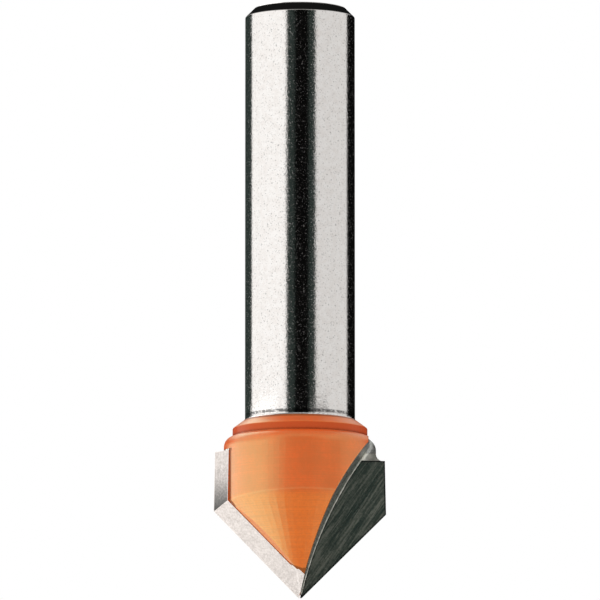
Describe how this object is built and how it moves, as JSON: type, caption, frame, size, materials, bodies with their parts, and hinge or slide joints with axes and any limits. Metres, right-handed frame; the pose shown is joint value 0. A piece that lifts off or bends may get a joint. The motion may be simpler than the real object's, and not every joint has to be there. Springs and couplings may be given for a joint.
{
  "type": "v groove router bit",
  "caption": "Straight-shank router bit that cuts a vee groove, with ground carbide tips brazed into a fluted, coated steel head.",
  "frame": {"origin": "middle of the shank's flat end face", "axes": "+Z along the bit's axis, out of the shank's end; the point is towards -Z. +X and -X run across the rake faces, with tip 1 on +X and its rake face looking to -Y"},
  "size_m": [0.019, 0.0168, 0.0649],
  "materials": {
    "steel_body": "ground bright steel shank; head coated in satin burnt orange outside the ground and milled faces",
    "head_coating": "thin satin burnt orange coat on the turned head and collar",
    "carbide": "dark grey tungsten carbide with ground faces",
    "silver_braze": "dull silver solder"
  },
  "bodies": {
    "root": {"body": "steel_body", "carbide_tip_1": "carbide", "carbide_tip_2": "carbide", "braze_1": "silver_braze", "braze_2": "silver_braze"}
  },
  "joints": []
}
